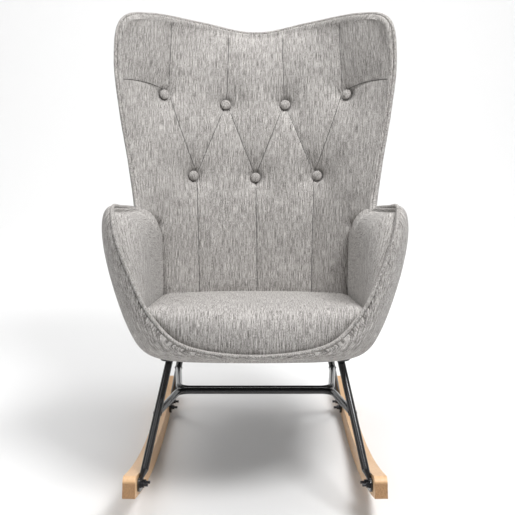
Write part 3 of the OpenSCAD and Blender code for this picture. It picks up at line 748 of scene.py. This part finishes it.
def shell_y(x, z):
    """Where a line from the front at x, z meets the inside of the shell"""
    a, b = np.meshgrid(np.linspace(END, SHELL_LAST, 80), np.linspace(-1, 1, 121), indexing="ij")
    tree = grid_tree(tub(a, b) - tub_normal(a, b) * (SHELL_IN + SHELL_TOP_IN * on_bend(a))[..., None])
    rows, cols = x.shape
    # every fourth row and column is looked at, and the rest is filled in between
    i, j = np.arange(0, rows, 4), np.arange(0, cols, 4)
    high = z[np.ix_(i, j)] > SHELL_FROM_Z
    found = np.full((len(i), len(j)), np.nan)
    for r, c in np.argwhere(high):
        at = i[r], j[c]
        hit = tree.ray_cast(Vector((x[at], -0.5, z[at])), Vector((0, 1, 0)))
        if hit[0] is not None:
            found[r, c] = hit[0].y
    # past the shell's edge, take the nearest value inside it
    for _ in range(12):
        pad = np.pad(np.where(np.isnan(found), FAR, found), 1, constant_values=FAR)
        near = np.min([pad[:-2, 1:-1], pad[2:, 1:-1], pad[1:-1, :-2], pad[1:-1, 2:]], axis=0)
        found = np.where(np.isnan(found) & (near < FAR) & high, near, found)
    found = np.where(np.isnan(found), NO_SHELL_Y, found)
    up = np.stack([np.interp(np.arange(rows), i, found[:, c]) for c in range(len(j))], 1)
    return np.stack([np.interp(np.arange(cols), j, up[r]) for r in range(rows)], 0)


# The back pad's lower corner, and how far its side lies behind the face there
FOOT_X, FOOT_Z, FOOT_DROP = 0.232, 0.345, 0.012
# How far in from the sides and from the top the face is bent to meet its edge
SIDE_REACH, TOP_REACH = 0.046, 0.050


def to_side(p, sign):
    """Points of the rim's right half, taken to the side that each sign says"""
    p[:, 0] *= sign
    return p


def back_side(v):
    """Right side of the back: up the arm's line, then up the rim. Also a, or -1 off the rim"""
    a_side = np.linspace(A_SADDLE, A_HORN, 160)
    rim_side = face_edge(a_side)
    x, y, z = rim_side[0]
    k = np.linspace(0, 1, 60)[:-1]
    low = np.stack([FOOT_X + (x - FOOT_X) * k ** 1.5, np.zeros_like(k), FOOT_Z + (z - FOOT_Z) * k], -1)
    low_drop = FOOT_DROP * (1 - k ** 3) + k ** 3 * (y - face_y(x, z))
    low[:, 1] = face_y(low[:, 0], low[:, 2]) + low_drop
    side, run = resampled(np.vstack([low, rim_side]), v, [0, 2])
    return side, np.where(v >= run[len(k)], np.interp(v, run[len(k):], a_side), -1.0)


def back_top(u):
    """Top of the back along the rim, between its two corners, and a"""
    a_top = np.linspace(END, A_HORN, 200)
    rim_top = face_edge(a_top)
    both = np.vstack([mirror_x(rim_top[::-1]), rim_top])
    x = u * rim_top[-1, 0]
    top = np.stack([x, np.interp(x, both[:, 0], both[:, 1]), np.interp(x, both[:, 0], both[:, 2])], -1)
    return top, np.interp(np.abs(x), rim_top[:, 0], a_top)


def coons(v, s, bottom, top, left, right):
    """Surface spanned between four edges"""
    vv, ss = v[:, None], s[None, :]
    return ((1 - vv) * bottom[None] + vv * top[None] + (1 - ss) * left[:, None] + ss * right[:, None]
            - (1 - ss) * (1 - vv) * bottom[0] - ss * (1 - vv) * bottom[-1]
            - (1 - ss) * vv * top[0] - ss * vv * top[-1])


def back_upholstery():
    rows, cols = 301, 261
    v = np.linspace(0, 1, rows)
    u = np.linspace(-1, 1, cols)
    s = (u + 1) / 2
    side, side_a = back_side(v)
    top, top_a = back_top(u)
    x = coons(v, s, FOOT_X * u, top[:, 0], -side[:, 0], side[:, 0])
    z = coons(v, s, np.full(cols, FOOT_Z), top[:, 2], side[:, 2], side[:, 2])
    drop_s = (side[:, 1] - face_y(side[:, 0], side[:, 2]))[:, None]
    d_s = np.hypot(np.abs(x) - side[:, :1], z - side[:, 2:])
    # the sides sweep out to the rim at the top only
    w_s = blend_weight(drop_s, d_s, SIDE_REACH, smooth(side[:, 2], 0.80, 0.93)[:, None])
    y = face_y(x, z) + drop_s * w_s
    d_t = np.hypot(x - top[None, :, 0], z - top[None, :, 2])
    drop_t = (top[:, 1] - y[-1])[None]
    y = y + drop_t * blend_weight(drop_t, d_t, TOP_REACH) + crease_depth(x, z)
    near, tuft, depth = seam_field(x, z)
    to_edge = np.minimum(d_s, d_t)
    free = smooth(to_edge, 0.0, 0.035)
    # the face stays in front of the shell
    shell = shell_y(x, z)
    soft = 0.0005 + 0.008 * free
    in_front = 0.5 * (y + shell - np.sqrt((y - shell) ** 2 + soft ** 2))
    y = y + (in_front - y) * smooth(to_edge, 0.0, 0.007)
    base = np.stack([x, y, z], -1)
    puff = 3.2 * (1 - np.exp(-(near / 0.040) ** 2)) * smooth(tuft, 0.0, 0.06)
    puff *= 1 - 0.45 * smooth(0.56 - z, 0.0, 0.12)
    shaped = base + turned(grid_normals(base), 1) * ((puff - depth) * free * MM)[..., None]
    pins = np.maximum(np.exp(-(near / 0.006) ** 2), np.exp(-(tuft / 0.016) ** 4))
    pins = np.clip(np.maximum(pins, 1 - free), 0, 1)
    front = with_cloth("back", shaped, pins, 1.2, 0.006)

    i, j = perimeter(rows, cols)[0].T
    at_top = i == rows - 1
    on_rim = at_top | (((j == 0) | (j == cols - 1)) & (side_a[i] >= A_HORN))
    rim_a = np.maximum(np.where(at_top, top_a[j], side_a[i]), END)
    sign = np.where(u[j] < 0, -1, 1)

    def place(depth_in, out, at_x):
        return to_centre(to_side(roll_edge(rim_a, depth_in, out), sign), at_x)

    rings = edge_rings(front, on_rim, place, np.array([0, 0.003, 0]))
    rear = rear_of(front, 0.018, 0.06)
    rear[i[on_rim], j[on_rim]] = to_side(rim_edge(rim_a, *REAR_EDGE), sign)[on_rim]
    across = grid_arc(base, 1)
    uv = np.stack([across - across[:, cols // 2, None], 0.5 * grid_arc(base, 0) + 0.5 * z], -1)
    ob = closed_sheet("back_upholstery", front, rear, rings, uv)
    finish_piece(ob, LINEN, "grey_fabric", "back_pad")
    return front


# ---- arms
# Far side of the arm pad, y and z: down behind the back pad's face, then under the seat's side
ARM_LINE = np.array([[0.138, 0.505], [0.138, 0.430], [0.134, 0.352], [0.02, 0.360],
                     [-0.12, 0.372], [-0.255, 0.384]])
# Its outer side before it comes out to the rim, inside the back pad
ARM_START = np.array([[0.226, 0.132, 0.518], [0.234, 0.106, 0.532],
                      [0.247, 0.076, 0.552], [0.262, 0.048, 0.570]])
# How much of the arm's width its rounded shoulder takes up, and the rest is one broad slope
SHOULDER_SHARE, SLOPE_SHARE = 0.84, 0.16
ARM_PUFF = 3.0


def arm_upholstery(name, sign, node):
    rows, cols = 201, 111
    a_run = np.linspace(A_SADDLE - 0.006, A_ARM, 300)
    s = np.linspace(0, 1, rows)
    outer, run = resampled(np.vstack([ARM_START, arm_edge(a_run, *FACE_EDGE)]), s)
    run = run[len(ARM_START):]
    a = np.where(s >= run[0], np.interp(s, run, a_run), -1.0)
    far, _ = resampled(np.vstack([ARM_LINE, outer[-1, 1:]]), s)
    for _ in range(14):
        far[1:-1] = 0.5 * far[1:-1] + 0.25 * (far[:-2] + far[2:])
    t = np.linspace(0, 1, cols)[None, :, None] ** 1.25
    yz = outer[:, None, 1:] * (1 - t) + far[:, None] * t
    d = np.linalg.norm(yz - outer[:, None, 1:], axis=-1)
    # a rounded shoulder at the rim, then one broad slope in to the back and the seat
    fall = np.clip(1 - d / np.maximum(d[:, -1:], 1e-6), 0, 1)
    reach = (0.062 + 0.048 * smooth(s, 0.25, 0.8))[:, None]
    share = SHOULDER_SHARE * edge_weight(d, reach) + SLOPE_SHARE * fall ** 1.25
    x = SEAT_HALF_W + (outer[:, :1] - SEAT_HALF_W) * share
    base = np.stack([x, yz[..., 0], yz[..., 1]], -1)
    span = np.linalg.norm(far - outer[:, 1:], axis=1)[:, None]
    to_rim = smooth(d, 0.0, 0.05)
    to_far = smooth(span - d, 0.0, 0.05)
    shaped = base + turned(grid_normals(base), 0) * (ARM_PUFF * to_rim * to_far * MM)[..., None]
    front = with_cloth(name, shaped, np.clip(1 - to_rim * to_far, 0, 1) ** 1.5, 1.5, 0.005)

    i, j = perimeter(rows, cols)[0].T
    rim_a = np.maximum(a, END)

    def place(depth_in, out, at_x):
        return arm_edge(rim_a[i], depth_in, out)

    rings = edge_rings(front, (j == 0) & (a[i] > 0), place, np.array([0.003, 0, 0]))
    rear = rear_of(front, 0.016, 0.08)
    rear = np.where(grid_normals(front)[..., :1] > 0, 2 * front - rear, rear)
    rear[:, 0] = np.where(a[:, None] > 0, rim_edge(rim_a, *REAR_EDGE), rear[:, 0])
    way = unit(outer[-1, 1:] - outer[rows // 3, 1:])
    uv = np.stack([grid_arc(base, 1), base[..., 1] * way[0] + base[..., 2] * way[1]], -1)
    if sign < 0:
        front, rear, rings = mirror_x(front), mirror_x(rear), [mirror_x(r) for r in rings]
    ob = closed_sheet(name, front, rear, rings, uv)
    finish_piece(ob, LINEN, "grey_fabric", node)


# ---- seat
# The crest is the line where the flat top turns down to the front, and curves back at the sides
CREST_Y, CREST_CURVE = -0.215, 0.030
# The seat's top starts this far behind the back's face, but no further forward than REAR_MIN_Y
SEAT_TUCK, REAR_MIN_Y = 0.016, 0.06
# Rows of the grid that lie on the top, before it is spaced evenly
TOP_ROWS = 100


def seat_upholstery():
    rows, cols = 181, 181
    u = np.linspace(-1, 1, cols)
    sign = np.where(u < 0, -1, 1)
    table_a = np.linspace(A_SEAT, 1 - END, 300)
    table = rim_edge(table_a, *FACE_EDGE)
    order = np.argsort(table[:, 0])
    x_rim = table[0, 0] * np.abs(u)
    a = np.interp(x_rim, table[order, 0], table_a[order])
    end = rim_edge(a, *FACE_EDGE)
    end[:, 0] = x_rim * sign
    x_top = SEAT_HALF_W * u
    y_rear = np.maximum(face_y(x_top, SEAT_REAR_Z) + SEAT_TUCK, REAR_MIN_Y)
    y_crest = CREST_Y - CREST_CURVE * np.abs(u) ** 4
    side = np.abs(u) ** 14
    # flat top from the back to the crest, then a rounded nose down to the rim
    top_t = np.linspace(0, 1, TOP_ROWS)[:, None]
    y = y_rear + (y_crest - y_rear) * top_t
    crown = 0.006 * (1 - np.abs(u)[None] ** 3.0) * np.sin(np.pi * np.clip(top_t * 0.9 + 0.08, 0, 1)) ** 0.8
    z = seat_z(y) + crown - 0.009 * side + 0.002
    z = z - 0.014 * (1 - smooth(y_rear[None] - y, 0.0, 0.035))
    top = np.stack([np.broadcast_to(x_top, y.shape), y, z], -1)
    p0 = top[-1]
    drop = np.clip((p0[:, 2] - end[:, 2]) / 0.090, 0.0, 1.2)[:, None]
    p1 = p0 + unit(top[-1] - top[-3]) * (0.020 + 0.060 * drop)
    p2 = end + np.array([0.0, -1.0, 0.0]) * (0.004 + 0.012 * drop) + np.array([0, 0, 1.0]) * (0.052 * drop)
    q = np.linspace(0, 1, rows - TOP_ROWS + 1)[1:, None, None]
    nose = ((1 - q) ** 3 * p0 + 3 * (1 - q) ** 2 * q * p1 + 3 * (1 - q) * q * q * p2 + q ** 3 * end)
    uneven = np.concatenate([top, nose], 0)
    arc = grid_arc(uneven, 0)
    # even out the spacing along each column
    base = np.zeros_like(uneven)
    for j in range(cols):
        want = np.linspace(0, arc[-1, j], rows)
        for k in range(3):
            base[:, j, k] = np.interp(want, arc[:, j], uneven[:, j, k])
    arc = np.linspace(0, 1, rows)[:, None] * arc[-1][None]
    d_rim = arc[-1][None] - arc
    d_side = (1 - np.abs(u))[None] * SEAT_HALF_W
    free = smooth(np.minimum(d_rim, arc), 0.0, 0.03) * smooth(d_side, 0.0, 0.04)
    front = with_cloth("seat", base, np.clip(1 - free, 0, 1) ** 1.5, 1.6, 0.006)

    i, j = perimeter(rows, cols)[0].T

    def place(depth_in, out, at_x):
        return to_centre(to_side(rim_edge(a[j], depth_in, out), sign[j]), at_x)

    rings = edge_rings(front, i == rows - 1, place, np.array([0, 0, -0.003]))
    rear = rear_of(front, 0.020, 0.08)
    if grid_normals(front)[rows // 3, cols // 2, 2] < 0:
        rear = 2 * front - rear
    rear[-1] = to_side(rim_edge(a, *REAR_EDGE), sign)
    ob = closed_sheet("seat_upholstery", front, rear, rings, np.stack([base[..., 0], -arc], -1))
    finish_piece(ob, LINEN, "grey_fabric", "seat_cushion")


# ---- buttons, and dark cords along the stitched seams as painted shadow
# A button's outline: radius, and height over a point BUTTON_IN behind the back's face, in mm
BUTTON = [(0, -2.6), (2.5, -2.7), (5, -3.1), (7.5, -3.9), (9.5, -4.9), (11.0, -6.1), (12.0, -7.4),
          (12.4, -8.8), (12.2, -10.2), (11.2, -11.4), (9.0, -12.2), (5.0, -12.6), (0, -12.8)]
BUTTON_IN, BUTTON_SIDES = 9.0, 36


def facing(x, z):
    """Direction in which the back's face looks"""
    h = 0.002
    slope_x = (face_y(x + h, z) - face_y(x - h, z)) / (2 * h)
    slope_z = (face_y(x, z + h) - face_y(x, z - h)) / (2 * h)
    return unit(np.array([slope_x, -1.0, slope_z]))


def buttons():
    sides, parts = BUTTON_SIDES, []
    for x, z in TUFTS:
        out = facing(x, z)
        side = unit(np.cross(out, np.array([0.0, 0.0, 1.0])))
        up = np.cross(side, out)
        origin = np.array([x, face_y(x, z), z]) - out * BUTTON_IN * MM
        verts, faces = [], []
        for r, h in BUTTON[1:-1]:
            for t in circle(sides):
                verts.append(origin + out * h * MM + (side * math.cos(t) + up * math.sin(t)) * r * MM)
        last = (len(BUTTON) - 3) * sides
        for i in range(0, last, sides):
            for k in range(sides):
                a, b = i + k, i + (k + 1) % sides
                faces.append([a, b, b + sides, a + sides])
        top, low = len(verts), len(verts) + 1
        verts += [origin + out * BUTTON[0][1] * MM, origin + out * BUTTON[-1][1] * MM]
        for k in range(sides):
            faces.append([top, (k + 1) % sides, k])
            faces.append([low, last + k, last + (k + 1) % sides])
        parts.append((np.array(verts), faces))
    finish_parts("buttons", parts, LINEN_SOLID, "grey_fabric", "tufting_buttons")


# Length of a step along a stitched seam, the gap it leaves round a button, and the radius of the dark cord
# laid in the seam's groove as painted shadow
STITCH, BUTTON_GAP, SHADOW_CORD_R = 0.004, 0.012, 0.75 * MM


# Dark cords along the seams on the back's face: painted shadow in the seam grooves
def back_seam_shadows(front):
    tree = grid_tree(front)
    parts = []
    for line in SEAMS:
        pts = []
        for p, q in zip(line[:-1], line[1:]):
            n = max(2, int(math.hypot(q[0] - p[0], q[1] - p[1]) / STITCH))
            pts += [(p[0] + (q[0] - p[0]) * k / n, p[1] + (q[1] - p[1]) * k / n) for k in range(n)]
        pts.append(line[-1])
        found = []
        for x, z in pts:
            if min(math.hypot(x - bx, z - bz) for bx, bz in TUFTS) < BUTTON_GAP:
                continue
            hit = tree.ray_cast(Vector((x, -1.0, z)), Vector((0, 1, 0)))
            if hit[0] is not None:
                found.append(hit[0])
        if len(found) > 3:
            f = np.array(found)
            for _ in range(2):
                f[1:-1] = 0.5 * f[1:-1] + 0.25 * (f[:-2] + f[2:])
            parts.append(tube(f + np.array([0, 0.0001, 0]), SHADOW_CORD_R, 8))
    finish_parts("back_seam_shadows", parts, SEAM_SHADOW, "grey_fabric")


# ---- steel frame details
# The legs' axes from foot to rail
FRONT_LEG = np.array([[226, -289, 78], [181, -147, 288]]) * MM
REAR_LEG = np.array([[212, 216, 76], [171, 70, 264]]) * MM
BRACE_Z, BRACE_CORNER = 0.174, np.array([0.174, -0.051, 0.174])
LEG_R, BRACE_R, RAIL_UNDER = 0.008, 0.0075, 0.2735


def bead(points, seed):
    """A weld bead with the ripples of its passes"""
    k = np.arange(len(points))
    radius = (1.7 + 0.25 * np.sin(k * 1.9 + seed) + 0.15 * np.sin(k * 0.7 + 2 * seed)) * MM
    return tube(points, radius, 8, closed=True)


def weld_beads():
    parts = []
    for no, leg in enumerate((FRONT_LEG, REAR_LEG)):
        e = unit(leg[1] - leg[0])
        at = leg[0] + (leg[1] - leg[0]) * (BRACE_Z - leg[0, 2]) / (leg[1, 2] - leg[0, 2])
        w = unit(at - BRACE_CORNER)
        side = unit(np.cross(w, [0, 0, 1.0]))
        up = np.cross(side, w)
        ring = []
        for ang in circle(40):
            p = BRACE_CORNER + (BRACE_R + 0.0004) * (math.cos(ang) * side + math.sin(ang) * up)
            # distance from the leg's axis is the leg's radius
            m, d = np.cross(p - at, e), np.cross(w, e)
            aa, bb, cc = d @ d, 2 * m @ d, m @ m - LEG_R ** 2
            ring.append(p + w * (-bb - math.sqrt(max(0.0, bb * bb - 4 * aa * cc))) / (2 * aa))
        parts.append(bead(np.array(ring), no))
        side = unit(np.cross(e, [0, 1.0, 0]))
        up = np.cross(side, e)
        ring = []
        for ang in circle(36):
            p = leg[0] + (LEG_R + 0.0006) * (math.cos(ang) * side + math.sin(ang) * up)
            ring.append(p + e * (RAIL_UNDER - 0.0012 - p[2]) / e[2])
        parts.append(bead(np.array(ring), no + 3))
    both = []
    for v, f in parts:
        both += [(v, f), (mirror_x(v), f)]
    finish_parts("weld_beads", both, STEEL, "black_steel")


# Staples: distance in from the edge, clear of the corners, spacing, half length, wire radius
STAPLE_IN, STAPLE_CLEAR, STAPLE_STEP, STAPLE_HALF, WIRE_R = 0.009, 0.06, 0.045, 0.005, 0.45 * MM


def dust_staples():
    """Wire staples round the dust cover's edge"""
    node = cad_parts["dust_cover"]
    flat = upright([list(node.matrix_world @ v.co) for v in node.data.vertices])
    lo, hi = flat.min(0), flat.max(0)
    xs, ys = (np.arange(lo[k] + STAPLE_CLEAR, hi[k] - 0.055, STAPLE_STEP) for k in range(2))
    along_x, along_y = np.array([1.0, 0, 0]), np.array([0, 1.0, 0])
    spots = [(x, y, along_x) for y in (lo[1] + STAPLE_IN, hi[1] - STAPLE_IN) for x in xs]
    spots += [(x, y, along_y) for x in (lo[0] + STAPLE_IN, hi[0] - STAPLE_IN) for y in ys]
    parts = []
    for x, y, way in spots:
        mid = np.array([x, y, lo[2] - 0.0002])
        end, bend, into = way * STAPLE_HALF, way * 0.0048, np.array([0, 0, 0.0008])
        wire = [mid - end + into, mid - bend, mid, mid + bend, mid + end + into]
        parts.append(tube(wire, WIRE_R, 6))
    finish_parts("dust_staples", parts, ZINC, "zinc_steel")


# ---- build
outer_cover()
rim_piping()
back_front = back_upholstery()
arm_upholstery("right_arm_upholstery", 1, "right_arm_pad")
arm_upholstery("left_arm_upholstery", -1, "left_arm_pad")
seat_upholstery()
buttons()
back_seam_shadows(back_front)
weld_beads()
dust_staples()

CAD_LOOKS = [
    (PLY, ["back_shell", "seat_shell", "left_side_shell", "right_side_shell", "seat_board"]),
    (FELT, ["dust_cover"]),
    (ZINC, ["t_nuts", "seat_washers", "seat_bolts"]),
    (STEEL, ["left_seat_rail", "right_seat_rail", "front_left_leg", "front_right_leg",
             "rear_left_leg", "rear_right_leg", "front_brace_tube", "rear_brace_tube"]),
    (BEECH, ["left_rocker", "right_rocker"]),
    (BLACK_ZINC, ["rocker_bolts", "rocker_washers", "rocker_nuts"]),
]
# Widths in mm
BEVELS = {"left_rocker": 2.0, "right_rocker": 2.0, "left_seat_rail": 0.8, "right_seat_rail": 0.8,
          "rocker_nuts": 0.3, "seat_board": 1.0}
for look, nodes in CAD_LOOKS:
    for node in nodes:
        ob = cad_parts[node]
        ob.data.materials.clear()
        ob.data.materials.append(look)
        if node in BEVELS:
            mod = ob.modifiers.new("soft_edge", "BEVEL")
            mod.width = BEVELS[node] * MM
            mod.segments = 3
            mod.limit_method = "ANGLE"
            mod.angle_limit = math.radians(40)
            mod.harden_normals = False

# ---- studio
# The level floor ends at FLOOR_END and sweeps up with radius FLOOR_SWEEP into a backdrop
FLOOR_START, FLOOR_END, FLOOR_SWEEP, FLOOR_HALF_W, BACKDROP_TOP = -7.0, 2.2, 1.6, 9.0, 7.0
SWEEP_PARTS = 24
# In the upright chair's frame: where the camera is, and how far down it looks
CAMERA_AT, CAMERA_DOWN, LENS = [0.005, -2.159, 0.804], 0.153, 66.8


def studio_floor():
    prof = [(FLOOR_START, 0.0), (FLOOR_END, 0.0)]
    for k in range(1, SWEEP_PARTS + 1):
        t = math.radians(90 * k / SWEEP_PARTS)
        prof.append((FLOOR_END + FLOOR_SWEEP * math.sin(t), FLOOR_SWEEP * (1 - math.cos(t))))
    prof.append((FLOOR_END + FLOOR_SWEEP, BACKDROP_TOP))
    verts = [(x, y, z) for y, z in prof for x in (-FLOOR_HALF_W, FLOOR_HALF_W)]
    faces = [[2 * i, 2 * i + 1, 2 * i + 3, 2 * i + 2] for i in range(len(prof) - 1)]
    me = bpy.data.meshes.new("studio_floor")
    me.from_pydata(verts, [], faces)
    me.shade_smooth()
    ob = bpy.data.objects.new("studio_floor", me)
    bpy.context.scene.collection.objects.link(ob)
    mat, _, bsdf = new_material("studio_paper")
    bsdf.inputs["Base Color"].default_value = (0.86, 0.86, 0.86, 1)
    bsdf.inputs["Roughness"].default_value = 0.9
    bsdf.inputs["Specular IOR Level"].default_value = 0.1
    me.materials.append(mat)


def area(name, loc, look, size, power):
    data = bpy.data.lights.new(name, "AREA")
    data.shape = "RECTANGLE"
    data.size, data.size_y = size
    data.energy = power
    lamp = bpy.data.objects.new(name, data)
    lamp.location = loc
    lamp.rotation_euler = (Vector(look) - Vector(loc)).to_track_quat("-Z", "Y").to_euler()
    bpy.context.scene.collection.objects.link(lamp)


def studio():
    studio_floor()
    world = bpy.data.worlds.new("studio_world")
    world.use_nodes = True
    bg = world.node_tree.nodes["Background"]
    bg.inputs["Color"].default_value = (1.0, 1.0, 1.0, 1)
    bg.inputs["Strength"].default_value = 0.22
    bpy.context.scene.world = world

    area("key", (1.2, -1.3, 2.95), (0, 0, 0.55), (1.2, 0.9), 74)
    area("fill", (-2.0, -2.0, 2.6), (0, 0, 0.6), (1.6, 1.6), 16)
    area("top", (0.0, -0.3, 3.4), (0, 0, 0.5), (3.0, 2.0), 18)
    area("backdrop", (0.0, 0.6, 4.2), (0, 3.6, 0.6), (5.0, 1.4), 140)

    cam_data = bpy.data.cameras.new("camera")
    cam_data.sensor_width = 36.0
    cam_data.lens = LENS
    cam = bpy.data.objects.new("camera", cam_data)
    cam.location = rest(np.array(CAMERA_AT)).tolist()
    cam.rotation_euler = (math.radians(90) - (CAMERA_DOWN + LEAN), 0, 0)
    bpy.context.scene.collection.objects.link(cam)
    bpy.context.scene.camera = cam
    bpy.context.scene.view_settings.view_transform = "Standard"
    bpy.context.scene.view_settings.look = "None"


studio()
